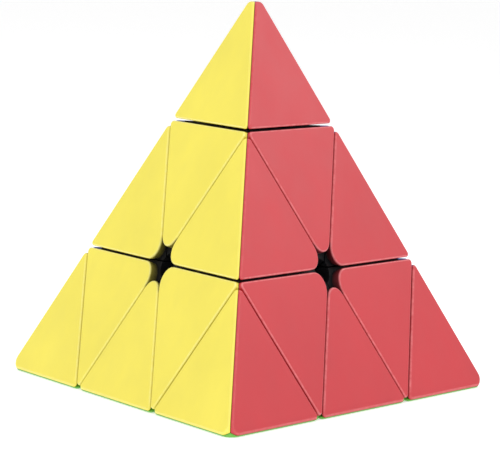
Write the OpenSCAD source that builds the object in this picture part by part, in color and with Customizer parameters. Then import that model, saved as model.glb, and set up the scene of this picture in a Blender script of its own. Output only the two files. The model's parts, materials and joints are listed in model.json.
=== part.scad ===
// Pyramid twisty puzzle: four tips, four corner pieces and six edge pieces on a four-armed core.
//
// Every cut is a level along one of the four corner axes, so a region is an intersection of
// bands. The levels of a point along the four axes always add up to zero.

/* [Pyramid] */
// Edge length of the pyramid before its corners are rounded
edge_len = 101; // [96:1:140]
// Gap between neighbouring pieces across a layer cut
layer_gap = 0.3; // [0.2:0.05:0.8]
// Gap between a tip and the corner piece below it
tip_gap = 0.4; // [0.2:0.05:0.8]

/* [Covers] */
// Thickness of the coloured covers
cover_t = 1.8; // [1.2:0.1:2.6]
// Fine joint between two covers of one piece
cover_joint = 0.1; // [0.05:0.05:0.3]
// Radius of the cover corners round each star-shaped hole
star_r = 3.2; // [2:0.1:5]
// Radius of the cover corners at the ends of the pyramid's edges
corner_r = 0.8; // [0.4:0.1:2.4]
// Radius of the cover corners at the four points of the pyramid
point_r = 2.2; // [1:0.1:3]
// Radius that the pyramid's outer edges are softened to
edge_r = 0.7; // [0.4:0.1:2]
// Height of the lip on a cover's back, which drops into the frame's pocket
lip_h = 0.9; // [0.5:0.1:1.2]
// Clearance round a cover's lip
lip_clear = 0.15; // [0.1:0.05:0.3]

/* [Frames] */
// Wall thickness of the dark frames behind the covers
wall = 1.6; // [1.2:0.1:2.2]
// Depth of the rails that back the pyramid's edges
rail_d = 2.2; // [1.6:0.1:3]
// Radius of the clear shaft behind each star-shaped hole
shaft_r = 2.6; // [1.5:0.1:3.2]

/* [Mechanism] */
// Radius of the core ball
core_r = 9; // [8:0.1:9.6]
// Radius of the sphere under which the edge feet turn
foot_r = 15; // [14:0.1:16.5]
// Clearance between feet, stems, core ball and the sphere above the feet
slide_gap = 0.4; // [0.3:0.05:0.5]
// Radius of the four posts on the core
post_r = 3; // [2.5:0.1:3.5]
// Running clearance between a post and its bore
post_clear = 0.1; // [0.05:0.01:0.1]
// Room between a post's top and the washer over it
post_short = 1.3; // [0.5:0.1:2.5]
// Thickness of the seat under the spring
seat_t = 2.3; // [1.5:0.1:3]
// Clearance round the spring in its well
well_clear = 0.6; // [0.4:0.05:1]
// Wall round the well
well_wall = 2; // [1.6:0.1:2.2]

/* [Screws and springs] */
// Radius of the screw's shank
screw_r = 1.5; // [1.2:0.1:1.8]
// Length of the screw's shank below its head
screw_len = 13; // [10:0.5:14]
// Radius of the screw's head
head_r = 3.3; // [2.8:0.1:3.8]
// Height of the screw's head
head_h = 2.2; // [1.8:0.1:2.6]
// Thickness of the washer under the screw's head
washer_t = 0.8; // [0.5:0.1:1.2]
// Wire thickness of the spring
wire_d = 0.9; // [0.6:0.1:1.1]
// Height of the spring as fitted
spring_h = 6.2; // [5.5:0.1:7]
// Clearance between the small parts in the well
fit_gap = 0.1; // [0.05:0.01:0.15]

/* [Tip plugs] */
// Clearance round the plug in the well
plug_clear = 0.2; // [0.1:0.05:0.4]
// Room between the plug's end and the screw's head
plug_room = 1.6; // [1:0.1:2.5]
// How far the snap ring stands out from the plug
ring_out = 0.5; // [0.3:0.1:0.8]
// Height of the snap ring
ring_h = 1.6; // [1.2:0.1:2]
// Width of the slots that part the plug into prongs
slot_w = 1; // [0.6:0.1:1.4]

/* [Hidden] */
$fn = 96;
CORNERS = ["top", "front", "left", "right"];
// The face opposite each corner, by its colour
FACES = ["green", "blue", "red", "yellow"];
PAINT = [[0.36, 0.70, 0.22], [0.12, 0.36, 0.78], [0.84, 0.34, 0.36], [0.97, 0.90, 0.38]];
DARK = [0.08, 0.08, 0.09];
EDGES = [[0, 1], [0, 2], [0, 3], [1, 2], [1, 3], [2, 3]];

// Angle between two corner axes, and how far each corner is turned round the vertical
tilt = acos(-1 / 3);
TURN = [0, -90, 150, 30];
AXES = [for (c = [0:3]) c == 0 ? [0, 0, 1] : [sin(tilt) * cos(TURN[c]), sin(tilt) * sin(TURN[c]), cos(tilt)]];

// Levels along a corner axis: the opposite face is at -face_level
face_level = edge_len / sqrt(24);
layer_level = face_level / 3;
tip_level = face_level * 5 / 3;
inner_level = face_level - cover_t;
rail_level = inner_level - rail_d * 2 / sqrt(3);
// Distance from the centre to an edge of a pyramid whose faces are at a given level
function edge_at(level) = level * sqrt(3);
reach = 2 * edge_len;

// Levels of the cuts, half a gap to each side
above_layer = layer_level + layer_gap / 2;
below_layer = layer_level - layer_gap / 2;
above_tip = tip_level + tip_gap / 2;
below_tip = tip_level - tip_gap / 2;

// Shift of a layer's cone along its axis that opens half the slide gap
cone_slope = sqrt(8);
// Where each cone starts above its apex, well inside the core ball
cone_start = core_r / 5;
// Turns the seam of a ball away from the planes of symmetry
seam_turn = 17;
cone_shift = slide_gap / 2 * 3 / sqrt(8);
foot_top = foot_r - slide_gap / 2;
foot_roof = foot_r + slide_gap / 2;
core_hollow = core_r + slide_gap;
// Where the pockets of a corner frame end, a small step above the roof
roof_step = 0.5;
pocket_floor = foot_roof + roof_step;
// Where the pocket of an edge frame ends, a wall above the roof
edge_floor = foot_roof + wall;
// Where the posts and the clear shafts start, hidden in the core ball and its hollow
post_start = core_r * 0.7;
shaft_start = core_r * 0.9;
// How far a cut runs past what it cuts
past = 1;

// Stack on each post: shoulder of the seat, spring, washer, screw head
shoulder = foot_roof + seat_t;
spring_base = shoulder + fit_gap;
washer_base = spring_base + spring_h;
head_base = washer_base + washer_t;
post_top = washer_base - post_short;
spring_r = post_r + fit_gap + wire_d;
well_r = spring_r + well_clear;
tube_r = well_r + well_wall;
// Cross-shaped recess in a screw's head
recess_len = head_r * 1.2;
recess_w = 0.8;
recess_d = head_h * 0.6;

// Tip plug: its end, its snap ring a little below its middle, and its root in the tip's base
plug_r = well_r - plug_clear;
plug_end = head_base + head_h + plug_room;
plug_len = below_tip - plug_end;
ring_drop = 0.3;
ring_mid = below_tip - plug_len / 2 - ring_drop;
plug_root = above_tip + wall / 2;

function others(used) = [for (k = [0:3]) if (len([for (u = used) if (u == k) 1]) == 0) k];
function sum4(v) = v[0] + v[1] + v[2] + v[3];
function level_point(u) = 0.75 * (u[0] * AXES[0] + u[1] * AXES[1] + u[2] * AXES[2] + u[3] * AXES[3]);

// Where the two sides of a facelet other than side i meet
function facelet_corner(sides, i) =
    level_point([for (k = [0:3]) k == i ? sides[i] - sum4(sides) : sides[k]]);

// Flat coordinates on the face opposite corner f, in the directions that aim() gives
function lean(v) = acos(v[2] / norm(v));
function swing(v) = atan2(v[1], v[0]);
function flat(p, v) = [
    p * [cos(lean(v)) * cos(swing(v)), cos(lean(v)) * sin(swing(v)), -sin(lean(v))],
    p * [-sin(swing(v)), cos(swing(v)), 0]
];

// Outline of a facelet on face f: sides holds the level of each side, rounds each corner's radius
corner_steps = 4;
step_angle = 120 / corner_steps;
function outline(f, sides, rounds) =
    let (
        ids = others([f]),
        flats = [for (i = ids) flat(facelet_corner(sides, i), -AXES[f])],
        middle = (flats[0] + flats[1] + flats[2]) / 3,
        spin = cross(flats[1] - flats[0], flats[2] - flats[0]),
        order = spin > 0 ? [0, 1, 2] : [0, 2, 1]
    )
    [for (n = order)
        let (
            out = (flats[n] - middle) / norm(flats[n] - middle),
            r = rounds[ids[n]],
            hub = flats[n] - 2 * r * out,
            aim_angle = atan2(out[1], out[0]),
            far = r / cos(step_angle / 2)
        )
        for (s = [0:(r > 0 ? corner_steps - 1 : 0)])
            let (angle = r > 0 ? aim_angle - 60 + step_angle * (s + 0.5) : 0)
            hub + far * [cos(angle), sin(angle)]];

function edge_name(e) = str(CORNERS[e[0]], "_", CORNERS[e[1]], "_edge");
function corner_cover_name(c, f) = str(CORNERS[c], "_corner_", FACES[f], "_cover");
function tip_cover_name(c, f) = str(CORNERS[c], "_tip_", FACES[f], "_cover");
function edge_cover_name(e, f) = str(edge_name(e), "_", FACES[f], "_cover");

// ---- Regions ----

// Turns +Z to point along v
module aim(v) rotate([0, lean(v), swing(v)]) children();

// Everything between two levels along v
module between(v, low, high)
    aim(v) translate([-reach, -reach, low]) cube([2 * reach, 2 * reach, high - low]);

// The cone that layer c turns in under the feet's roof, with its point cut off inside the core
module layer_cone(c, shift)
    aim(AXES[c]) translate([0, 0, shift + cone_start])
        cylinder(h = foot_r, r1 = cone_start * cone_slope, r2 = (cone_start + foot_r) * cone_slope);

// A ball whose seam and poles lie round corner axis c
module ball(c, r) aim(AXES[c]) rotate([0, 0, seam_turn]) sphere(r);

// Cuts away what layer c sweeps under the roof as it turns
module clear_of_layer(c)
    difference() {
        children();
        intersection() {
            ball(c, foot_roof);
            layer_cone(c, -cone_shift);
        }
    }

// The clear shaft behind the hole in each of these faces
module shafts(faces)
    for (f = faces) aim(-AXES[f]) translate([0, 0, shaft_start]) cylinder(h = face_level, r = shaft_r);

// The half of space on face f's side of the mitre between faces f and g
module mitre(f, g) between(AXES[g] - AXES[f], cover_joint / 2, reach);

// Cuts the sharp edge between faces f and g back to where a round of edge_r would end
module softened(f, g)
    between(-AXES[f] - AXES[g], -reach, edge_at(face_level) - edge_r * (sqrt(3) - 1));

// ---- Covers ----

// A flat plate on face f with its top at a level, from an outline
module plate(f, top, t, sides, rounds)
    aim(-AXES[f]) translate([0, 0, top - t]) linear_extrude(t) polygon(outline(f, sides, rounds));

// The lip on the back of a cover
module lip(f, sides) plate(f, inner_level, lip_h, sides, [0, 0, 0, 0]);

module tip_cover(c, f) {
    pq = others([c, f]);
    sides = [for (k = [0:3]) k == c ? above_tip : -face_level];
    rounds = [for (k = [0:3]) k == c ? point_r : corner_r];
    lip_sides = [for (k = [0:3])
        k == f ? -inner_level + lip_h
        : k == c ? above_tip + wall + lip_clear : -rail_level + lip_clear];
    color(PAINT[f]) union() {
        intersection() {
            plate(f, face_level, cover_t, sides, rounds);
            between(AXES[c], above_tip, reach);
            mitre(f, pq[0]);
            mitre(f, pq[1]);
            softened(f, pq[0]);
            softened(f, pq[1]);
        }
        lip(f, lip_sides);
    }
}

module corner_cover(c, f) {
    pq = others([c, f]);
    sides = [for (k = [0:3]) k == f ? -face_level : k == c ? below_tip : below_layer];
    rounds = [for (k = [0:3]) k == c ? star_r : corner_r];
    inset = wall + lip_clear;
    lip_sides = [for (k = [0:3])
        k == f ? -inner_level : k == c ? below_tip - inset : below_layer - inset];
    color(PAINT[f]) intersection() {
        union() {
            plate(f, face_level, cover_t, sides, rounds);
            intersection() {
                lip(f, lip_sides);
                between(AXES[c], pocket_floor + lip_clear, below_tip);
            }
        }
        mitre(f, pq[0]);
        mitre(f, pq[1]);
        softened(f, pq[0]);
        softened(f, pq[1]);
    }
}

module edge_cover(e, f) {
    g = others([e[0], e[1], f])[0];
    sides = [for (k = [0:3]) k == f || k == g ? -face_level : above_layer];
    rounds = [for (k = [0:3]) k == g ? star_r : corner_r];
    lip_sides = [for (k = [0:3])
        k == f ? -inner_level + lip_h
        : k == g ? -rail_level + lip_clear : above_layer + wall + lip_clear];
    color(PAINT[f]) union() {
        intersection() {
            plate(f, face_level, cover_t, sides, rounds);
            between(AXES[e[0]], above_layer, reach);
            between(AXES[e[1]], above_layer, reach);
            mitre(f, g);
            softened(f, g);
        }
        intersection() {
            lip(f, lip_sides);
            between(AXES[e[0]] + AXES[e[1]], edge_floor + lip_clear, reach);
        }
    }
}

// ---- Frames ----

// Plug with a snap ring, from its end up to the tip's base
module plug()
    rotate_extrude() polygon([
        [0, plug_end],
        [plug_r, plug_end],
        [plug_r, ring_mid - ring_h / 2],
        [plug_r + ring_out, ring_mid - ring_h / 4],
        [plug_r + ring_out, ring_mid + ring_h / 4],
        [plug_r, ring_mid + ring_h / 2],
        [plug_r, plug_root],
        [0, plug_root]
    ]);

module tip_frame(c) {
    fpq = others([c]);
    color(DARK) difference() {
        union() {
            difference() {
                intersection() {
                    between(AXES[c], above_tip, reach);
                    for_each_band(fpq, -inner_level, reach);
                }
                intersection() {
                    between(AXES[c], above_tip + wall, reach);
                    for_each_rail(c, fpq);
                }
            }
            aim(AXES[c]) plug();
        }
        aim(AXES[c]) translate([0, 0, plug_end - past]) cylinder(h = plug_len, r = plug_r - wall);
        for (turn = [0, 60, 120])
            aim(AXES[c]) rotate([0, 0, turn]) translate([-plug_r * 2, -slot_w / 2, plug_end - past])
                cube([plug_r * 4, slot_w, plug_len]);
    }
}

// Bands of the same levels along three axes
module for_each_band(axes, low, high)
    intersection() {
        between(AXES[axes[0]], low, high);
        between(AXES[axes[1]], low, high);
        between(AXES[axes[2]], low, high);
    }

// Inside of the rails along the three pyramid edges that meet at corner c
module for_each_rail(c, ends)
    intersection() {
        inside_rail(c, ends[0]);
        inside_rail(c, ends[1]);
        inside_rail(c, ends[2]);
    }

module inside_rail(a, b) between(AXES[a] + AXES[b], 0, edge_at(inner_level) - rail_d);

// An eight-sided frame with a well, and a stem that reaches down between the feet
module corner_frame(c) {
    fpq = others([c]);
    color(DARK) difference() {
        clear_of_layer(fpq[0]) clear_of_layer(fpq[1]) clear_of_layer(fpq[2]) difference() {
            difference() {
                corner_block(c, fpq);
                corner_pocket(c, fpq);
            }
            ball(c, core_hollow);
            shafts(fpq);
        }
        aim(AXES[c]) well();
    }
}

module corner_block(c, fpq)
    intersection() {
        between(AXES[c], above_layer, below_tip);
        for_each_band(fpq, -inner_level, below_layer);
    }

// The hollow that the three covers close, round the well's tube
module corner_pocket(c, fpq)
    difference() {
        intersection() {
            between(AXES[c], pocket_floor, below_tip - wall);
            for_each_band(fpq, -reach, below_layer - wall);
        }
        aim(AXES[c]) cylinder(h = tip_level, r = tube_r);
    }

// Bore for the post, well for the spring, screw and plug, and the groove for the plug's ring
module well()
    rotate_extrude() polygon([
        [0, 0],
        [post_r + post_clear, 0],
        [post_r + post_clear, shoulder],
        [well_r, shoulder],
        [well_r, ring_mid - ring_h / 2 - fit_gap],
        [plug_r + ring_out + fit_gap, ring_mid - ring_h / 4 - fit_gap],
        [plug_r + ring_out + fit_gap, ring_mid + ring_h / 4 + fit_gap],
        [well_r, ring_mid + ring_h / 2 + fit_gap],
        [well_r, tip_level],
        [0, tip_level]
    ]);

module edge_frame(e) {
    fg = others(e);
    color(DARK) difference() {
        union() {
            difference() {
                intersection() {
                    between(AXES[e[0]], above_layer, reach);
                    between(AXES[e[1]], above_layer, reach);
                    between(AXES[fg[0]], -inner_level, reach);
                    between(AXES[fg[1]], -inner_level, reach);
                }
                intersection() {
                    between(AXES[e[0]], above_layer + wall, reach);
                    between(AXES[e[1]], above_layer + wall, reach);
                    between(AXES[e[0]] + AXES[e[1]], edge_floor, edge_at(inner_level) - rail_d);
                }
            }
            foot(e);
        }
        ball(e[0], core_hollow);
        shafts(fg);
    }
}

// The foot that holds an edge piece in under its two neighbours
module foot(e)
    intersection() {
        ball(e[0], foot_top);
        layer_cone(e[0], cone_shift);
        layer_cone(e[1], cone_shift);
    }

// ---- Core and axles ----

module core_spider()
    color(DARK) difference() {
        union() {
            sphere(core_r);
            for (c = [0:3]) aim(AXES[c]) translate([0, 0, post_start])
                cylinder(h = post_top - post_start, r = post_r);
        }
        for (c = [0:3]) aim(AXES[c]) translate([0, 0, head_base - screw_len - past])
            cylinder(h = screw_len + 2 * past, r = screw_r + fit_gap / 2);
    }

module axle_screws()
    color("silver") for (c = [0:3]) aim(AXES[c]) translate([0, 0, head_base]) difference() {
        union() {
            translate([0, 0, -screw_len]) cylinder(h = screw_len + head_h / 2, r = screw_r);
            cylinder(h = head_h, r = head_r);
        }
        for (turn = [0, 90]) rotate([0, 0, turn])
            translate([-recess_len / 2, -recess_w / 2, head_h - recess_d])
                cube([recess_len, recess_w, head_h]);
    }

module axle_springs()
    color("silver") for (c = [0:3]) aim(AXES[c]) translate([0, 0, spring_base]) difference() {
        cylinder(h = spring_h, r = spring_r);
        translate([0, 0, -past]) cylinder(h = spring_h + 2 * past, r = post_r + fit_gap);
    }

module spring_washers()
    color("silver") for (c = [0:3]) aim(AXES[c]) translate([0, 0, washer_base]) difference() {
        cylinder(h = washer_t, r = spring_r + fit_gap);
        translate([0, 0, -past]) cylinder(h = washer_t + 2 * past, r = screw_r + fit_gap);
    }

core_spider();
axle_screws();
axle_springs();
spring_washers();
for (c = [0:3])
    corner_frame(c);
for (c = [0:3]) for (f = others([c]))
    corner_cover(c, f);
for (c = [0:3])
    tip_frame(c);
for (c = [0:3]) for (f = others([c]))
    tip_cover(c, f);
for (e = EDGES)
    edge_frame(e);
for (e = EDGES) for (f = others(e))
    edge_cover(e, f);
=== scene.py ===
"""Pyramid twisty puzzle: moulded covers, dark frames, core, screws, washers and springs.

A level is a distance along one of the four corner axes, as in the part's own source, and every
size is in metres. A cover is lofted in rings, from its flat face over its rounded rim and down
its walls to the lip on its back.
"""

import json
import math

import bmesh
import bpy
from mathutils import Matrix, Vector


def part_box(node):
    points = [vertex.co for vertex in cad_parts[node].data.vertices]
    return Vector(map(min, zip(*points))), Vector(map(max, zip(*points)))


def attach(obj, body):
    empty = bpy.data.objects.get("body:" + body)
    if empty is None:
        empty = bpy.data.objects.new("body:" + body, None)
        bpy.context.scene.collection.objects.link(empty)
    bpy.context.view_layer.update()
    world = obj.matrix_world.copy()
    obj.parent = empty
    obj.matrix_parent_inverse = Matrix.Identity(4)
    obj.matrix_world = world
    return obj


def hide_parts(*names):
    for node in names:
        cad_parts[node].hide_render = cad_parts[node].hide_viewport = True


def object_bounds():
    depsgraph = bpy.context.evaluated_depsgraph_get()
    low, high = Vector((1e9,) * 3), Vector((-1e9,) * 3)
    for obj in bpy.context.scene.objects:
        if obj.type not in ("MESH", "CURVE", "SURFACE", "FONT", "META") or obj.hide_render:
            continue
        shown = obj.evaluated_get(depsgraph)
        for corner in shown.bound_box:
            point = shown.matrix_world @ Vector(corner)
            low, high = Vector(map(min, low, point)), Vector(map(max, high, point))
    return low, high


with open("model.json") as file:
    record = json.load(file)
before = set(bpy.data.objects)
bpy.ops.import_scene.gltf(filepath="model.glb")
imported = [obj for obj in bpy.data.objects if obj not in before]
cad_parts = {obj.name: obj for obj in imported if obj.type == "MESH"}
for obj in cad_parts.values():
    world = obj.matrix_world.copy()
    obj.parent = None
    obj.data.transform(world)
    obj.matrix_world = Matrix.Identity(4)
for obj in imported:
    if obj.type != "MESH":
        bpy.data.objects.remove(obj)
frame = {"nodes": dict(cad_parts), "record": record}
CAD_BOX = [list(corner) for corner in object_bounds()]

# ---- Sizes, from the frame and from the part's own clearances ----

MM = 0.001
FACE = -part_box("left_corner_green_cover")[0].z
LAYER = FACE / 3
TIP = FACE * 5 / 3
LAYER_GAP = 0.3 * MM
TIP_GAP = 0.4 * MM
COVER_T = 1.8 * MM
COVER_JOINT = 0.1 * MM
WALL = 1.6 * MM
RAIL_D = 2.2 * MM
LIP_H = 0.9 * MM
LIP_CLEAR = 0.15 * MM
LIP_INSET = WALL + LIP_CLEAR
STAR_R = 3.2 * MM
CORNER_R = 0.8 * MM
POINT_R = 2.2 * MM
CUT_ROUND = 0.4 * MM
EDGE_ROUND = 0.7 * MM
LEAST_ROUND = 0.15 * MM
FRAME_EASE = 0.2 * MM

EDGE_LEN = FACE * math.sqrt(24)
INNER = FACE - COVER_T
RAIL_LEVEL = INNER - RAIL_D * 2 / math.sqrt(3)
ABOVE_LAYER, BELOW_LAYER = LAYER + LAYER_GAP / 2, LAYER - LAYER_GAP / 2
ABOVE_TIP, BELOW_TIP = TIP + TIP_GAP / 2, TIP - TIP_GAP / 2
# Half the fine joint between two covers, measured along a face
HALF_JOINT = COVER_JOINT / 2 * math.sqrt(3)

# Screws, washers and springs stand on the core's four posts
SCREW_R = 1.5 * MM
HEAD_R = 3.3 * MM
HEAD_H = 2.2 * MM
HEAD_EASE = 0.25 * MM
HEAD_DOME = 0.7 * MM
RECESS_LEN = HEAD_R * 1.2
RECESS_W = 0.8 * MM
RECESS_DEPTH = HEAD_H * 0.6
# How far the recess narrows towards its bottom, along and across each bar of the cross
RECESS_TAPER = (0.55, 0.8)
SCREW_LEN = 13 * MM
SHANK_IN_HEAD = HEAD_H / 4
POINT_LEN = 0.5 * MM
POINT_TAPER = 0.8
THREAD_PITCH = 1.1 * MM
THREAD_DEPTH = 0.22 * MM
FIT_GAP = 0.1 * MM
WASHER_T = 0.8 * MM
WASHER_EASE = 0.15 * MM
WIRE_D = 0.9 * MM
SPRING_IN = 3.1 * MM
SPRING_H = 6.2 * MM
HEAD_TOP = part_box("axle_screws")[1].z
HEAD_BASE = HEAD_TOP - HEAD_H
WASHER_BASE = HEAD_BASE - WASHER_T
SPRING_BASE = WASHER_BASE - SPRING_H

# ---- The pyramid's corners and faces ----

TILT = math.acos(-1 / 3)
TURN = {"front": -90, "left": 150, "right": 30}
AXES = {"top": Vector((0, 0, 1))}
for name, degrees in TURN.items():
    turn = math.radians(degrees)
    AXES[name] = Vector((math.sin(TILT) * math.cos(turn), math.sin(TILT) * math.sin(turn), -1 / 3))
# The face opposite each corner, by its colour
COLOUR_OF = {"top": "green", "front": "blue", "left": "red", "right": "yellow"}
CORNERS = list(AXES)
# How fast a level grows along a face, and how far a cut leans in for each unit of depth
SLOPE = math.sqrt(8) / 3
LEAN = 1 / math.sqrt(8)
# Turn from a face to the wall of a sloping cut, and to the middle of the pyramid's rounded edge
CUT_TURN = math.acos(-1 / 3)
EDGE_TURN = math.acos(1 / math.sqrt(3))


def others(*used):
    """The corners that are not among these."""
    return [c for c in CORNERS if c not in used]


def across(face, corner):
    """Direction on a face towards one of the pyramid's corners."""
    return (AXES[corner] + AXES[face] / 3).normalized()


def plan(level, height):
    """How far along that direction a level lies, on a plane at a height over the centre."""
    return (level - height / 3) / SLOPE


# ---- Finishes ----

# Noise: features per metre, detail and roughness
CLOUDS = (55, 3, 0.5)
STREAKS = (170, 4, 0.6)
GRAIN = (2600, 2, 0.7)
SPECKS = (900, 5, 0.65)
STAINS = (600, 4, 0.6)
TURNING_MARKS = (6000, 2, 0.6)
# Ramps over the noise: its low and high value, and what each of them gives
CLOUD_SHADE = (0.3, 0.7, 0.955, 1.03)
STREAK_SHADE = (0.3, 0.7, 0.985, 1.015)
STREAK_GLOSS = (0.25, 0.75, -0.05, 0.05)
# Patches of the rims' painted highlight and rubbing
HIGHLIGHT_AND_RUB_PATCHES = (0.35, 0.6, 0.45, 1.0)
# Patches of the painted shade and dust in the gaps and star holes
SHADE_AND_DUST_PATCHES = (0.3, 0.65, 0.92, 1.0)
STAIN_SHARE = (0.4, 0.7, 0.0, 0.7)
STAIN_GLOSS = (0.3, 0.7, -0.08, 0.12)
# How much rubbing polishes and dust dulls, and how high clouds and grain stand in the relief
RUB_POLISH, DUST_DULL = 0.12, 0.2
CLOUD_RELIEF, GRAIN_RELIEF = 0.9, 0.12
STAIN_TINT = (0.62, 0.58, 0.52, 1)


def add_node(tree, kind, values=None, **settings):
    node = tree.nodes.new(kind)
    for key, value in settings.items():
        setattr(node, key, value)
    for key, value in (values or {}).items():
        node.inputs[key].default_value = value
    return node


def new_group(name, inputs, outputs):
    """A shader node group with named sockets: (name, type, value) in, (name, type) out."""
    group = bpy.data.node_groups.new(name, "ShaderNodeTree")
    for label, kind, value in inputs:
        socket = group.interface.new_socket(label, in_out="INPUT", socket_type=kind)
        socket.default_value = value
    for label, kind in outputs:
        group.interface.new_socket(label, in_out="OUTPUT", socket_type=kind)
    return group, group.nodes.new("NodeGroupInput"), group.nodes.new("NodeGroupOutput")


def math_node(tree, operation, a, b):
    """A Math node on two values, each a socket or a number."""
    node = add_node(tree, "ShaderNodeMath", operation=operation)
    for slot, value in enumerate((a, b)):
        if isinstance(value, (int, float)):
            node.inputs[slot].default_value = value
        else:
            tree.links.new(value, node.inputs[slot])
    return node.outputs[0]


def mix_colour(tree, share, a, b, blend="MIX"):
    node = add_node(tree, "ShaderNodeMix", data_type="RGBA", blend_type=blend)
    for slot, value in ((0, share), (6, a), (7, b)):
        if isinstance(value, (int, float, tuple)):
            node.inputs[slot].default_value = value
        else:
            tree.links.new(value, node.inputs[slot])
    return node.outputs[2]


def noise(tree, where, scale, detail, rough):
    values = {"Scale": scale, "Detail": detail, "Roughness": rough}
    node = add_node(tree, "ShaderNodeTexNoise", values)
    tree.links.new(where, node.inputs["Vector"])
    return node.outputs["Fac"]


def ramp(tree, value, low, high, start, end):
    """Maps a value from one range to another, clamped."""
    keys = ("From Min", "From Max", "To Min", "To Max")
    node = add_node(tree, "ShaderNodeMapRange", dict(zip(keys, (low, high, start, end))))
    tree.links.new(value, node.inputs["Value"])
    return node.outputs["Result"]


def build_moulded_surface():
    """Satin moulded plastic: cloudy colour, fine spark grain, a painted highlight on the rubbed rims, and
    painted shade with some dust in the gaps.

    Covers carry how near a rim a point is, and how deep in a gap, as the attributes rim and recess.
    """
    colour, number = "NodeSocketColor", "NodeSocketFloat"
    group, into, out = new_group(
        "moulded surface",
        [
            ("Colour", colour, (1, 1, 1, 1)),
            ("Painted Highlight Colour", colour, (1, 1, 1, 1)),
            ("Painted Shade Colour", colour, (0.3, 0.3, 0.3, 1)),
            ("Roughness", number, 0.45),
            ("Highlight And Rub", number, 0.5),
            ("Shade And Dust", number, 0.5),
        ],
        [("Colour", colour), ("Roughness", number), ("Height", number)],
    )
    where = add_node(group, "ShaderNodeTexCoord").outputs["Object"]
    rim = add_node(group, "ShaderNodeAttribute", attribute_name="rim").outputs["Fac"]
    recess = add_node(group, "ShaderNodeAttribute", attribute_name="recess").outputs["Fac"]

    clouds = noise(group, where, *CLOUDS)
    streaks = noise(group, where, *STREAKS)
    grain = noise(group, where, *GRAIN)
    specks = noise(group, where, *SPECKS)

    shade = ramp(group, clouds, *CLOUD_SHADE)
    shade = math_node(group, "MULTIPLY", shade, ramp(group, streaks, *STREAK_SHADE))
    tint = add_node(group, "ShaderNodeHueSaturation")
    group.links.new(into.outputs["Colour"], tint.inputs["Color"])
    group.links.new(shade, tint.inputs["Value"])

    # Painted highlight: lightens the rims towards a highlight colour, and rubbing polishes them
    highlight_and_rub = math_node(group, "MULTIPLY", rim, ramp(group, specks, *HIGHLIGHT_AND_RUB_PATCHES))
    highlight_and_rub = math_node(group, "MULTIPLY", highlight_and_rub, into.outputs["Highlight And Rub"])
    body = mix_colour(group, highlight_and_rub, tint.outputs["Color"], into.outputs["Painted Highlight Colour"])
    # Painted shade: darkens the walls of gaps and star holes nearly to black, and dust dulls their gloss
    shade_and_dust = math_node(group, "MULTIPLY", recess, ramp(group, specks, *SHADE_AND_DUST_PATCHES))
    shade_and_dust = math_node(group, "MULTIPLY", shade_and_dust, into.outputs["Shade And Dust"])
    group.links.new(mix_colour(group, shade_and_dust, body, into.outputs["Painted Shade Colour"]), out.inputs["Colour"])

    gloss = math_node(group, "ADD", into.outputs["Roughness"], ramp(group, streaks, *STREAK_GLOSS))
    gloss = math_node(group, "SUBTRACT", gloss, math_node(group, "MULTIPLY", highlight_and_rub, RUB_POLISH))
    gloss = math_node(group, "ADD", gloss, math_node(group, "MULTIPLY", shade_and_dust, DUST_DULL))
    group.links.new(gloss, out.inputs["Roughness"])

    sink = math_node(group, "MULTIPLY", clouds, CLOUD_RELIEF)
    fine = math_node(group, "MULTIPLY", grain, GRAIN_RELIEF)
    group.links.new(math_node(group, "ADD", sink, fine), out.inputs["Height"])
    return group


def build_turned_metal():
    """Plated or spring steel: slightly stained tone, uneven polish and fine turning marks."""
    colour, number = "NodeSocketColor", "NodeSocketFloat"
    group, into, out = new_group(
        "turned metal",
        [("Colour", colour, (0.6, 0.6, 0.6, 1)), ("Roughness", number, 0.3)],
        [("Colour", colour), ("Roughness", number), ("Height", number)],
    )
    where = add_node(group, "ShaderNodeTexCoord").outputs["Object"]
    stains = noise(group, where, *STAINS)
    marks = noise(group, where, *TURNING_MARKS)
    dark = mix_colour(group, 1.0, into.outputs["Colour"], STAIN_TINT, "MULTIPLY")
    tone = mix_colour(group, ramp(group, stains, *STAIN_SHARE), into.outputs["Colour"], dark)
    group.links.new(tone, out.inputs["Colour"])
    gloss = math_node(group, "ADD", into.outputs["Roughness"], ramp(group, stains, *STAIN_GLOSS))
    group.links.new(gloss, out.inputs["Roughness"])
    group.links.new(marks, out.inputs["Height"])
    return group


def surface(name, group, values, bump, bump_height, fixed):
    """A material whose varying colour, roughness and height come from a group."""
    material = bpy.data.materials.new(name)
    material.use_nodes = True
    tree = material.node_tree
    shader = tree.nodes["Principled BSDF"]
    for key, value in fixed.items():
        shader.inputs[key].default_value = value
    skin = add_node(tree, "ShaderNodeGroup", node_tree=group)
    for key, value in values.items():
        skin.inputs[key].default_value = value
    relief = add_node(tree, "ShaderNodeBump", {"Strength": bump, "Distance": bump_height})
    tree.links.new(skin.outputs["Colour"], shader.inputs["Base Color"])
    tree.links.new(skin.outputs["Roughness"], shader.inputs["Roughness"])
    tree.links.new(skin.outputs["Height"], relief.inputs["Height"])
    tree.links.new(relief.outputs["Normal"], shader.inputs["Normal"])
    return material


MOULDED = build_moulded_surface()
TURNED = build_turned_metal()


def satin_plastic(name, colour, painted_highlight_colour, painted_shade_colour):
    values = {
        "Colour": colour,
        "Painted Highlight Colour": painted_highlight_colour,
        "Painted Shade Colour": painted_shade_colour,
        "Roughness": 0.42,
        "Highlight And Rub": 0.7,
        "Shade And Dust": 1.0,
    }
    fixed = {"IOR": 1.49, "Coat Weight": 0.12, "Coat Roughness": 0.3}
    return surface(name, MOULDED, values, bump=0.5, bump_height=0.05 * MM, fixed=fixed)


# Each plastic: its colour, the painted highlight on its rims and the painted shade in its gaps
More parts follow.
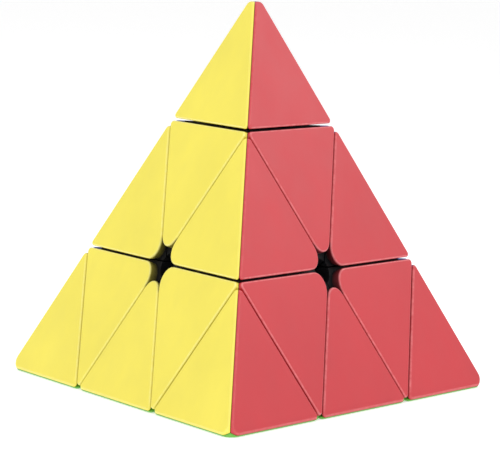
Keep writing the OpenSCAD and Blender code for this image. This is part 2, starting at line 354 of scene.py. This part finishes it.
PLASTIC = {
    "yellow": satin_plastic(
        "yellow satin plastic", (0.935, 0.805, 0.085, 1), (0.96, 0.9, 0.32, 1), (0.02, 0.016, 0.005, 1)
    ),
    "red": satin_plastic(
        "red satin plastic", (0.56, 0.018, 0.029, 1), (0.85, 0.26, 0.27, 1), (0.015, 0.003, 0.004, 1)
    ),
    "green": satin_plastic(
        "green satin plastic", (0.13, 0.47, 0.04, 1), (0.38, 0.72, 0.22, 1), (0.004, 0.012, 0.004, 1)
    ),
    "blue": satin_plastic(
        "blue satin plastic", (0.008, 0.075, 0.42, 1), (0.16, 0.32, 0.75, 1), (0.002, 0.004, 0.015, 1)
    ),
}
DARK_PLASTIC = surface(
    "dark frame plastic",
    MOULDED,
    {
        "Colour": (0.005, 0.005, 0.006, 1),
        "Painted Highlight Colour": (0.03, 0.03, 0.034, 1),
        "Painted Shade Colour": (0.02, 0.019, 0.018, 1),
        "Roughness": 0.62,
    },
    bump=0.6,
    bump_height=0.05 * MM,
    fixed={"IOR": 1.5, "Specular IOR Level": 0.18},
)
SCREW_STEEL = surface(
    "zinc plated steel",
    TURNED,
    {"Colour": (0.62, 0.63, 0.62, 1), "Roughness": 0.3},
    bump=0.3,
    bump_height=0.01 * MM,
    fixed={"Metallic": 1.0},
)
SPRING_STEEL = surface(
    "spring steel",
    TURNED,
    {"Colour": (0.4, 0.39, 0.37, 1), "Roughness": 0.24},
    bump=0.3,
    bump_height=0.01 * MM,
    fixed={"Metallic": 1.0},
)

# ---- Making pieces ----

CREASE = math.radians(50)
# Points closer than these are one, in a lofted cover, a frame and a turned piece
LOFT_MERGE, FRAME_MERGE, LATHE_MERGE = 0.004 * MM, 0.002 * MM, 0.001 * MM


def link(name, mesh, material):
    """A new piece in the scene, with its mesh in one finish."""
    piece = bpy.data.objects.new(name, mesh)
    bpy.context.scene.collection.objects.link(piece)
    mesh.materials.clear()
    mesh.materials.append(material)
    return piece


def finish_normals(piece):
    """Lets the flat faces set the shading, so a rounded rim runs into them without a crease."""
    smooth = [True] * len(piece.data.polygons)
    piece.data.polygons.foreach_set("use_smooth", smooth)
    weighted = piece.modifiers.new("weighted normals", "WEIGHTED_NORMAL")
    weighted.keep_sharp = True


def seat(piece, body, slot, *stands_for):
    """Puts a finished piece on its body and hides the nodes it stands for. The finish it takes, slot, is
    not used.
    """
    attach(piece, body)
    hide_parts(*stands_for)


def mark_creases(bm, angle):
    """Keeps the shading sharp across edges that turn by more than an angle."""
    for edge in bm.edges:
        edge.smooth = not (edge.is_manifold and edge.calc_face_angle(0) > angle)


# ---- Covers ----

CORNER_STEPS = 8
SIDE_STOPS = (0.03, 0.07, 0.12, 0.5, 0.88, 0.93, 0.97)
ROUND_STEPS = 6
# How far a cover turns at each corner of its triangle
CORNER_TURN = math.radians(120)
# How deep in shade the end of a rounded rim is, where the wall below it is 1
RIM_SHADE = 0.35
# How dark the walls of the star holes and of the plain seams are painted, as painted shade with some dust
STAR_SHADE, SEAM_SHADE = 2.2, 0.15
# How much painted highlight the pyramid's edges get, as a share of the rims along the cuts
EDGE_HIGHLIGHT = 0.4
# Corner radii of each kind of lip, by how many of the two sides are pyramid edges
TIP_LIPS = {1: 0.6 * MM, 2: 0.8 * MM}
EDGE_LIPS = {0: 2.6 * MM, 1: 0.6 * MM}
CORNER_LIPS = {0: 7.8 * MM, 1: 0.8 * MM}


class Side:
    """One side of a cover: which way it faces on the plan, how far out it is, and what it meets.

    It faces towards the corner where pointing is 1, and away from it where pointing is -1.
    """

    def __init__(self, face, corner, level, pointing, lip_level, lip_height):
        self.way = across(face, corner) * pointing
        self.is_edge = level is None
        self.reach = pointing * plan(-FACE if self.is_edge else level, FACE)
        self.lip_reach = pointing * plan(lip_level, lip_height)
        self.sloping = pointing < 0
        if self.is_edge:
            self.reach -= HALF_JOINT

    def rounded(self, share):
        """Inset and depth of the rounded rim, from the face at 0 to the wall at 1."""
        if self.is_edge:
            radius, end = EDGE_ROUND, EDGE_TURN
            tangent = radius * math.tan(EDGE_TURN)
        else:
            radius, end = CUT_ROUND, CUT_TURN if self.sloping else math.pi / 2
            tangent = radius * math.tan(end / 2)
        turn = end * share
        return tangent - radius * math.sin(turn), radius * (1 - math.cos(turn))

    def wall(self, depth):
        """How far in the wall is at a depth below the face."""
        if self.is_edge:
            return depth * math.sqrt(2)
        return depth * LEAN if self.sloping else 0.0


def mitre_room(face, point):
    """How deep a point on the plan may go before it meets the neighbouring face's cover."""
    nearest = min(point.dot(across(face, c)) for c in others(face)) + FACE * math.sqrt(2)
    return (nearest - HALF_JOINT) / math.sqrt(2)


def meeting(a, b, reach_a, reach_b):
    """Where two lines cross whose outward directions are 120 degrees apart."""
    return (a * (reach_a + reach_b / 2) + b * (reach_b + reach_a / 2)) * 4 / 3


def outline(sides, reaches, rounds):
    """Points round a triangle with rounded corners, each with its two sides and its share of them."""
    corners = []
    for n in range(3):
        m = (n + 1) % 3
        a, b, radius = sides[n].way, sides[m].way, rounds[n]
        hub = meeting(a, b, reaches[n] - radius, reaches[m] - radius)
        arc = []
        for step in range(CORNER_STEPS + 1):
            share = step / CORNER_STEPS
            turn = CORNER_TURN * share
            out = (a * math.sin(CORNER_TURN - turn) + b * math.sin(turn)) / math.sin(CORNER_TURN)
            arc.append((hub + out * radius, n, m, share))
        corners.append(arc)
    points = []
    for n in range(3):
        following = corners[(n + 1) % 3]
        start, end, side = corners[n][-1][0], following[0][0], (n + 1) % 3
        points += corners[n]
        points += [(start.lerp(end, stop), side, side, 0.0) for stop in SIDE_STOPS]
    return points


def cover_rings(face, sides, rounds, lip_rounds):
    """The cover's rings of (point, rim, recess), from the face to the end of the lip."""
    rings = []

    def add(reaches, radii, depths, insets, rim, recess):
        ring = []
        for point, n, m, share in outline(sides, reaches, radii):
            depth = depths[n] * (1 - share) + depths[m] * share
            room = mitre_room(face, point)
            if n != m and sides[n].is_edge and sides[m].is_edge and insets[n] > 0:
                # At the pyramid's point the wall runs down the mitres instead
                depth = depths[n] * room * math.sqrt(2) / insets[n]
            depth = min(depth, room)
            # Painted shade on the walls, darkest in the star holes
            at_star = n != m and rounds[n] == STAR_R
            shade = min(1.0, recess * (STAR_SHADE if at_star else SEAM_SHADE))
            # Painted highlight on the rims, weaker along the pyramid's edges
            highlight_share = rim * EDGE_HIGHLIGHT if sides[n].is_edge or sides[m].is_edge else rim
            ring.append((point - AXES[face] * (FACE - depth), highlight_share, shade))
        rings.append(ring)

    def add_level(insets, depths, rim, recess):
        reaches = [side.reach - inset for side, inset in zip(sides, insets)]
        radii = []
        for n in range(3):
            inset = min(insets[n], insets[(n + 1) % 3])
            radii.append(max(rounds[n] - inset, LEAST_ROUND))
        add(reaches, radii, depths, insets, rim, recess)

    for step in range(ROUND_STEPS + 1):
        share = step / ROUND_STEPS
        rounded = [side.rounded(share) for side in sides]
        insets, depths = [r[0] for r in rounded], [r[1] for r in rounded]
        add_level(insets, depths, math.sin(math.pi * share), RIM_SHADE * share * share)
    add_level([side.wall(COVER_T) for side in sides], [COVER_T] * 3, 0.0, 1.0)
    lip_reaches = [side.lip_reach for side in sides]
    for depth in (COVER_T, COVER_T + LIP_H):
        add(lip_reaches, lip_rounds, [depth] * 3, [0] * 3, 0.0, 1.0)
    return rings


def loft(name, rings, outward):
    """A closed solid through rings of points, its first and last rings filled."""
    bm = bmesh.new()
    rim_layer = bm.verts.layers.float.new("rim")
    recess_layer = bm.verts.layers.float.new("recess")
    loops = []
    for ring in rings:
        loop = []
        for point, rim, recess in ring:
            vert = bm.verts.new(point)
            vert[rim_layer], vert[recess_layer] = rim, recess
            loop.append(vert)
        loops.append(loop)
    count = len(loops[0])
    for upper, lower in zip(loops, loops[1:]):
        for n in range(count):
            m = (n + 1) % count
            bm.faces.new((upper[n], lower[n], lower[m], upper[m]))
    bm.faces.new(loops[0])
    bm.faces.new(reversed(loops[-1]))
    bmesh.ops.remove_doubles(bm, verts=bm.verts, dist=LOFT_MERGE)
    bmesh.ops.recalc_face_normals(bm, faces=bm.faces)
    top = max(bm.faces, key=lambda f: f.calc_area())
    if top.normal.dot(outward) < 0:
        bmesh.ops.reverse_faces(bm, faces=bm.faces)
    mark_creases(bm, CREASE)
    mesh = bpy.data.meshes.new(name)
    bm.to_mesh(mesh)
    bm.free()
    return mesh


def make_cover(node, body, face, corner_sides, pointing, lip_rounds):
    """A cover on a face. corner_sides gives, for each corner, its side's level or None for an edge,
    and rounds come from what meets: two cuts at the star hole, or the pyramid's own points."""
    normal = -AXES[face]
    lip_height = INNER if pointing > 0 else INNER - LIP_H
    sides = []
    for corner, level in corner_sides.items():
        if level is None:
            lip_level = LIP_CLEAR - RAIL_LEVEL
        else:
            lip_level = level - pointing * LIP_INSET
        sides.append(Side(face, corner, level, pointing, lip_level, lip_height))
    first = sides[0].way
    second = normal.cross(first)
    sides.sort(key=lambda s: math.atan2(s.way.dot(second), s.way.dot(first)))
    rounds, lips = [], []
    for n in range(3):
        kinds = sides[n], sides[(n + 1) % 3]
        edges = sum(side.is_edge for side in kinds)
        rounds.append({0: STAR_R, 1: CORNER_R, 2: POINT_R}[edges])
        lips.append(lip_rounds[edges])
        if pointing > 0 and abs(kinds[0].reach - kinds[1].reach) > LAYER_GAP:
            # A corner piece's side against the tip meets its layer cut at the pyramid's edge
            rounds[-1], lips[-1] = CORNER_R, lip_rounds[1]
    name = node.replace("_cover", "_moulded_cover")
    mesh = loft(name, cover_rings(face, sides, rounds, lips), normal)
    colour = COLOUR_OF[face]
    piece = link(name, mesh, PLASTIC[colour])
    finish_normals(piece)
    seat(piece, body, f"{colour}_plastic", node)


def make_covers():
    """Three covers on each tip and each corner piece, and two on each edge piece."""
    for c in CORNERS:
        for face in others(c):
            p, q = others(c, face)
            colour = COLOUR_OF[face]
            tip_sides = {c: ABOVE_TIP, p: None, q: None}
            make_cover(f"{c}_tip_{colour}_cover", f"{c}_tip", face, tip_sides, -1, TIP_LIPS)
            corner_sides = {c: BELOW_TIP, p: BELOW_LAYER, q: BELOW_LAYER}
            make_cover(f"{c}_corner_{colour}_cover", f"{c}_corner", face, corner_sides, 1, CORNER_LIPS)
    for n, a in enumerate(CORNERS):
        for b in CORNERS[n + 1:]:
            body = f"{a}_{b}_edge"
            for face in others(a, b):
                g = others(a, b, face)[0]
                sides = {a: ABOVE_LAYER, b: ABOVE_LAYER, g: None}
                make_cover(f"{body}_{COLOUR_OF[face]}_cover", body, face, sides, -1, EDGE_LIPS)


# ---- Frames and core ----

# Faces that meet at less than the first angle are one, and edges past the second are eased
FLAT, SHARP = math.radians(1.5), math.radians(38)


def ease_node(node, body):
    """A CAD node's own shape with its sharp edges eased, as a moulding comes out of its tool."""
    bm = bmesh.new()
    bm.from_mesh(frame["nodes"][node].data)
    bmesh.ops.remove_doubles(bm, verts=bm.verts, dist=FRAME_MERGE)
    bmesh.ops.dissolve_limit(bm, angle_limit=FLAT, verts=bm.verts, edges=bm.edges)
    mark_creases(bm, CREASE)
    name = node + "_moulding"
    mesh = bpy.data.meshes.new(name)
    bm.to_mesh(mesh)
    bm.free()
    piece = link(name, mesh, DARK_PLASTIC)
    ease = piece.modifiers.new("eased edges", "BEVEL")
    ease.width = FRAME_EASE
    ease.segments = 2
    ease.limit_method = "ANGLE"
    ease.angle_limit = SHARP
    finish_normals(piece)
    seat(piece, body, "dark_plastic", node)


def make_frames():
    """The core and the dark frame behind every set of covers."""
    ease_node("core_spider", "core")
    for body, nodes in frame["record"]["behaviour"]["bodies"].items():
        for node in nodes:
            if node.endswith("_frame"):
                ease_node(node, body)


# ---- Screws, washers and springs ----

LATHE_STEPS = 40
COIL_TURNS = 5.5
COIL_STEPS = 28
WIRE_STEPS = 10
EASE_STEPS = 3
DOME_STEPS = 5
SHANK_STEPS = 24
ROWS_PER_PITCH = 6
THREAD_CREASE = math.radians(35)


def lathe(name, profile):
    """A mesh turned round Z from (radius, height) points, closed where the radius is zero."""
    bm = bmesh.new()
    rows = []
    for radius, height in profile:
        if radius == 0:
            rows.append([bm.verts.new((0, 0, height))] * LATHE_STEPS)
            continue
        row = []
        for n in range(LATHE_STEPS):
            turn = 2 * math.pi * n / LATHE_STEPS
            row.append(bm.verts.new((radius * math.cos(turn), radius * math.sin(turn), height)))
        rows.append(row)
    closed = profile[0] == profile[-1]
    for lower, upper in zip(rows, rows[1:]):
        for n in range(LATHE_STEPS):
            m = (n + 1) % LATHE_STEPS
            quad = list(dict.fromkeys((lower[n], lower[m], upper[m], upper[n])))
            if len(quad) > 2:
                bm.faces.new(quad)
    if closed:
        bmesh.ops.remove_doubles(bm, verts=bm.verts, dist=LATHE_MERGE)
    bmesh.ops.recalc_face_normals(bm, faces=bm.faces)
    mesh = bpy.data.meshes.new(name)
    bm.to_mesh(mesh)
    bm.free()
    return mesh


def arc(centre, radius, start, end, steps):
    """(radius, height) points along an arc, with its angles in degrees."""
    points = []
    for n in range(steps + 1):
        turn = math.radians(start + (end - start) * n / steps)
        points.append((centre[0] + radius * math.cos(turn), centre[1] + radius * math.sin(turn)))
    return points


def screw_shank(bm):
    """The threaded shank, whose radius rises and falls along a helix, from its point to the head."""
    height = SCREW_LEN + SHANK_IN_HEAD
    count = round(height / THREAD_PITCH * ROWS_PER_PITCH)
    rows = []
    for r in range(count + 1):
        z = -SCREW_LEN + height * r / count
        row = []
        for n in range(SHANK_STEPS):
            turn = 2 * math.pi * n / SHANK_STEPS
            phase = (z / THREAD_PITCH - n / SHANK_STEPS) % 1
            cut = THREAD_DEPTH * min(1, 2 * abs(2 * phase - 1))
            radius = SCREW_R - cut - max(0, POINT_LEN - (z + SCREW_LEN)) * POINT_TAPER
            row.append(bm.verts.new((radius * math.cos(turn), radius * math.sin(turn), z)))
        rows.append(row)
    for lower, upper in zip(rows, rows[1:]):
        for n in range(SHANK_STEPS):
            m = (n + 1) % SHANK_STEPS
            bm.faces.new((lower[n], lower[m], upper[m], upper[n]))
    bm.faces.new(reversed(rows[0]))
    bm.faces.new(rows[-1])


def make_screw():
    """A pan head with a cross recess on a threaded shank, its head's underside at height zero."""
    profile = [(0, 0), (HEAD_R - HEAD_EASE, 0)]
    profile += arc((HEAD_R - HEAD_EASE, HEAD_EASE), HEAD_EASE, -90, 0, EASE_STEPS)
    profile += arc((HEAD_R - HEAD_DOME, HEAD_H - HEAD_DOME), HEAD_DOME, 0, 90, DOME_STEPS)
    profile += [(0, HEAD_H)]
    head = link("screw_head", lathe("screw_head", profile), SCREW_STEEL)
    cutter_mesh = bpy.data.meshes.new("cross_recess")
    bm = bmesh.new()
    for turn in (0, 90):
        bar = bmesh.ops.create_cube(bm, size=1)["verts"]
        bmesh.ops.scale(bm, vec=(RECESS_LEN, RECESS_W, RECESS_DEPTH * 2), verts=bar)
        bmesh.ops.translate(bm, vec=(0, 0, HEAD_H), verts=bar)
        for vert in bar:
            if vert.co.z < HEAD_H:
                vert.co.x *= RECESS_TAPER[0]
                vert.co.y *= RECESS_TAPER[1]
        bmesh.ops.rotate(bm, matrix=Matrix.Rotation(math.radians(turn), 3, "Z"), verts=bar)
    bm.to_mesh(cutter_mesh)
    bm.free()
    cutter = link("cross_recess", cutter_mesh, SCREW_STEEL)
    recess = head.modifiers.new("recess", "BOOLEAN")
    recess.object = cutter
    recess.use_self = True
    cut_head = bpy.data.meshes.new_from_object(evaluated(head))
    bm = bmesh.new()
    bm.from_mesh(cut_head)
    screw_shank(bm)
    mark_creases(bm, THREAD_CREASE)
    mesh = bpy.data.meshes.new("screw")
    bm.to_mesh(mesh)
    bm.free()
    remove(head, cutter)
    return link("screw", mesh, SCREW_STEEL)


def make_washer():
    """A flat ring with eased edges, its underside at height zero."""
    outer, inner, ease = SPRING_IN + WIRE_D + FIT_GAP, SCREW_R + FIT_GAP, WASHER_EASE
    profile = arc((outer - ease, ease), ease, -90, 0, EASE_STEPS)
    profile += arc((outer - ease, WASHER_T - ease), ease, 0, 90, EASE_STEPS)
    profile += arc((inner + ease, WASHER_T - ease), ease, 90, 180, EASE_STEPS)
    profile += arc((inner + ease, ease), ease, 180, 270, EASE_STEPS)
    return link("washer", lathe("washer", profile + profile[:1]), SCREW_STEEL)


def evaluated(piece):
    """A piece as its modifiers leave it."""
    bpy.context.view_layer.update()
    return piece.evaluated_get(bpy.context.evaluated_depsgraph_get())


def remove(*pieces):
    """Takes pieces that only served to make others out of the scene."""
    for piece in pieces:
        mesh = piece.data
        bpy.data.objects.remove(piece)
        bpy.data.meshes.remove(mesh)


def new_tree(name, inputs):
    """A geometry node tree with named inputs, and its input and output nodes."""
    tree = bpy.data.node_groups.new(name, "GeometryNodeTree")
    tree.interface.new_socket("Geometry", in_out="INPUT", socket_type="NodeSocketGeometry")
    for label, kind in inputs:
        tree.interface.new_socket(label, in_out="INPUT", socket_type=kind)
    tree.interface.new_socket("Geometry", in_out="OUTPUT", socket_type="NodeSocketGeometry")
    return tree, tree.nodes.new("NodeGroupInput"), tree.nodes.new("NodeGroupOutput")


def run_tree(name, start_mesh, tree, values):
    """Runs a tree on a start mesh with its named inputs set, and gives back the plain mesh."""
    carrier = bpy.data.objects.new(name, start_mesh)
    bpy.context.scene.collection.objects.link(carrier)
    modifier = carrier.modifiers.new(tree.name, "NODES")
    modifier.node_group = tree
    for item in tree.interface.items_tree:
        if item.item_type == "SOCKET" and item.in_out == "INPUT" and item.name in values:
            modifier[item.identifier] = values[item.name]
    mesh = bpy.data.meshes.new_from_object(evaluated(carrier))
    carrier.modifiers.remove(modifier)
    remove(carrier)
    mesh.name = name
    return mesh


def build_coil_tree():
    """A wound wire from its mean radius, height, turns and wire radius."""
    numbers = ["Radius", "Height", "Turns", "Wire Radius"]
    inputs = [(label, "NodeSocketFloat") for label in numbers] + [("Finish", "NodeSocketMaterial")]
    tree, into, out = new_tree("coil spring", inputs)
    spiral = add_node(tree, "GeometryNodeCurveSpiral", {"Resolution": COIL_STEPS})
    ring = add_node(tree, "GeometryNodeCurvePrimitiveCircle", {"Resolution": WIRE_STEPS})
    wire = add_node(tree, "GeometryNodeCurveToMesh", {"Fill Caps": True})
    smooth = add_node(tree, "GeometryNodeSetShadeSmooth")
    real = add_node(tree, "GeometryNodeRealizeInstances")
    paint = add_node(tree, "GeometryNodeSetMaterial")
    joins = (
        (into.outputs["Turns"], spiral.inputs["Rotations"]),
        (into.outputs["Radius"], spiral.inputs["Start Radius"]),
        (into.outputs["Radius"], spiral.inputs["End Radius"]),
        (into.outputs["Height"], spiral.inputs["Height"]),
        (into.outputs["Wire Radius"], ring.inputs["Radius"]),
        (spiral.outputs["Curve"], wire.inputs["Curve"]),
        (ring.outputs["Curve"], wire.inputs["Profile Curve"]),
        (wire.outputs["Mesh"], smooth.inputs["Geometry"]),
        (smooth.outputs["Geometry"], real.inputs["Geometry"]),
        (real.outputs["Geometry"], paint.inputs["Geometry"]),
        (into.outputs["Finish"], paint.inputs["Material"]),
        (paint.outputs["Geometry"], out.inputs["Geometry"]),
    )
    for source, target in joins:
        tree.links.new(source, target)
    return tree


def build_axle_tree():
    """Stands a part on every axle: each start point is an axle's direction, Level its distance."""
    inputs = [("Part", "NodeSocketObject"), ("Level", "NodeSocketFloat"), ("Finish", "NodeSocketMaterial")]
    tree, into, out = new_tree("on each axle", inputs)
    where = add_node(tree, "GeometryNodeInputPosition")
    reach = add_node(tree, "ShaderNodeVectorMath", operation="SCALE")
    move = add_node(tree, "GeometryNodeSetPosition")
    aim = add_node(tree, "FunctionNodeAlignRotationToVector", axis="Z")
    part = add_node(tree, "GeometryNodeObjectInfo")
    place = add_node(tree, "GeometryNodeInstanceOnPoints")
    real = add_node(tree, "GeometryNodeRealizeInstances")
    paint = add_node(tree, "GeometryNodeSetMaterial")
    joins = (
        (where.outputs["Position"], reach.inputs[0]),
        (into.outputs["Level"], reach.inputs["Scale"]),
        (into.outputs["Geometry"], move.inputs["Geometry"]),
        (reach.outputs["Vector"], move.inputs["Position"]),
        (where.outputs["Position"], aim.inputs["Vector"]),
        (move.outputs["Geometry"], place.inputs["Points"]),
        (into.outputs["Part"], part.inputs["Object"]),
        (part.outputs["Geometry"], place.inputs["Instance"]),
        (aim.outputs["Rotation"], place.inputs["Rotation"]),
        (place.outputs["Instances"], real.inputs["Geometry"]),
        (real.outputs["Geometry"], paint.inputs["Geometry"]),
        (into.outputs["Finish"], paint.inputs["Material"]),
        (paint.outputs["Geometry"], out.inputs["Geometry"]),
    )
    for source, target in joins:
        tree.links.new(source, target)
    return tree


def make_hardware():
    """One screw, washer and spring, each set on all four axles."""
    coil_values = {
        "Radius": SPRING_IN + WIRE_D / 2,
        "Height": SPRING_H - WIRE_D,
        "Turns": COIL_TURNS,
        "Wire Radius": WIRE_D / 2,
        "Finish": SPRING_STEEL,
    }
    empty = bpy.data.meshes.new("coil start")
    coil = link("coil", run_tree("coil", empty, build_coil_tree(), coil_values), SPRING_STEEL)
    parts = (
        ("axle_screws", make_screw(), HEAD_BASE, SCREW_STEEL, "screw_steel"),
        ("spring_washers", make_washer(), WASHER_BASE, SCREW_STEEL, "screw_steel"),
        ("axle_springs", coil, SPRING_BASE + WIRE_D / 2, SPRING_STEEL, "spring_steel"),
    )
    tree = build_axle_tree()
    for node, part, level, finish, slot in parts:
        directions = bpy.data.meshes.new("axles")
        directions.from_pydata([AXES[c] for c in CORNERS], [], [])
        values = {"Part": part, "Level": level, "Finish": finish}
        mesh = run_tree(node + "_set", directions, tree, values)
        remove(part)
        piece = link(node + "_set", mesh, finish)
        finish_normals(piece)
        seat(piece, "core", slot, node)


make_covers()
make_frames()
make_hardware()

# ---- Camera, floor and light ----

AZIMUTH = math.radians(1.991)
ELEVATION = math.radians(6.464)
ROLL = math.radians(1.92)
DISTANCE = 7.143 * EDGE_LEN
LENS = 258.2
SENSOR = 36.0
FAR_END = 20.0
# How far the view's middle lies to the right of the puzzle's centre and above it, for each unit ahead
AIM_RIGHT, AIM_UP = 0.00131, 0.01821
FLOOR_R = 6
FLOOR_SIDES = 96
FLOOR_DROP = 0.02 * MM
PAPER_GREY = (0.8, 0.8, 0.8, 1)
WHITE = (1, 1, 1, 1)
# Brightness of the surroundings on the puzzle and behind it, and of the floor's own glow
AMBIENT, BACKDROP, FLOOR_GLOW = 0.62, 1.05, 0.47
# Soft boxes: name, place, width and power
LIGHTS = (
    ("key", (-0.45, -0.75, 0.75), 0.6, 2.5),
    ("fill", (0.7, -0.6, 0.45), 0.7, 1.3),
    ("top", (0.05, 0.1, 1.0), 0.8, 3.0),
    ("rim", (0.4, 0.2, 0.28), 0.3, 0.45),
)


def make_camera():
    """A long lens looking slightly down, rolled a little and aimed just past the puzzle's centre."""
    towards = Vector(
        (
            -math.cos(ELEVATION) * math.sin(AZIMUTH),
            math.cos(ELEVATION) * math.cos(AZIMUTH),
            -math.sin(ELEVATION),
        )
    )
    level_right = towards.cross(Vector((0, 0, 1))).normalized()
    level_up = level_right.cross(towards)
    right = level_right * math.cos(ROLL) + level_up * math.sin(ROLL)
    up = right.cross(towards)
    ahead = (towards + right * AIM_RIGHT + up * AIM_UP).normalized()
    right = (right - ahead * right.dot(ahead)).normalized()
    up = right.cross(ahead)
    data = bpy.data.cameras.new("camera")
    data.lens, data.sensor_width, data.clip_end = LENS, SENSOR, FAR_END
    camera = bpy.data.objects.new("camera", data)
    bpy.context.scene.collection.objects.link(camera)
    turned = Matrix((right, up, -ahead)).transposed().to_4x4()
    camera.matrix_world = Matrix.Translation(-towards * DISTANCE) @ turned
    bpy.context.scene.camera = camera


def make_light(name, place, size, power):
    data = bpy.data.lights.new(name, "AREA")
    data.energy, data.size = power, size
    light = bpy.data.objects.new(name, data)
    bpy.context.scene.collection.objects.link(light)
    light.location = place
    light.rotation_euler = (-Vector(place)).to_track_quat("-Z", "Y").to_euler()


def make_studio():
    """Pale paper underfoot, even white light all round and four soft boxes."""
    bm = bmesh.new()
    bmesh.ops.create_circle(bm, cap_ends=True, segments=FLOOR_SIDES, radius=FLOOR_R)
    bmesh.ops.translate(bm, vec=(0, 0, CAD_BOX[0][2] - FLOOR_DROP), verts=bm.verts)
    mesh = bpy.data.meshes.new("floor")
    bm.to_mesh(mesh)
    bm.free()
    paper = bpy.data.materials.new("pale paper")
    paper.use_nodes = True
    shader = paper.node_tree.nodes["Principled BSDF"]
    shader.inputs["Base Color"].default_value = PAPER_GREY
    shader.inputs["Roughness"].default_value = 0.7
    shader.inputs["Specular IOR Level"].default_value = 0.2
    shader.inputs["Emission Color"].default_value = WHITE
    shader.inputs["Emission Strength"].default_value = FLOOR_GLOW
    link("floor", mesh, paper)

    world = bpy.data.worlds.new("studio")
    world.use_nodes = True
    tree = world.node_tree
    backdrop = tree.nodes["Background"]
    backdrop.inputs["Color"].default_value = WHITE
    seen = add_node(tree, "ShaderNodeLightPath").outputs["Is Camera Ray"]
    tree.links.new(ramp(tree, seen, 0, 1, AMBIENT, BACKDROP), backdrop.inputs["Strength"])
    bpy.context.scene.world = world
    for name, place, size, power in LIGHTS:
        make_light(name, place, size, power)
    bpy.context.scene.view_settings.view_transform = "Standard"


make_camera()
make_studio()
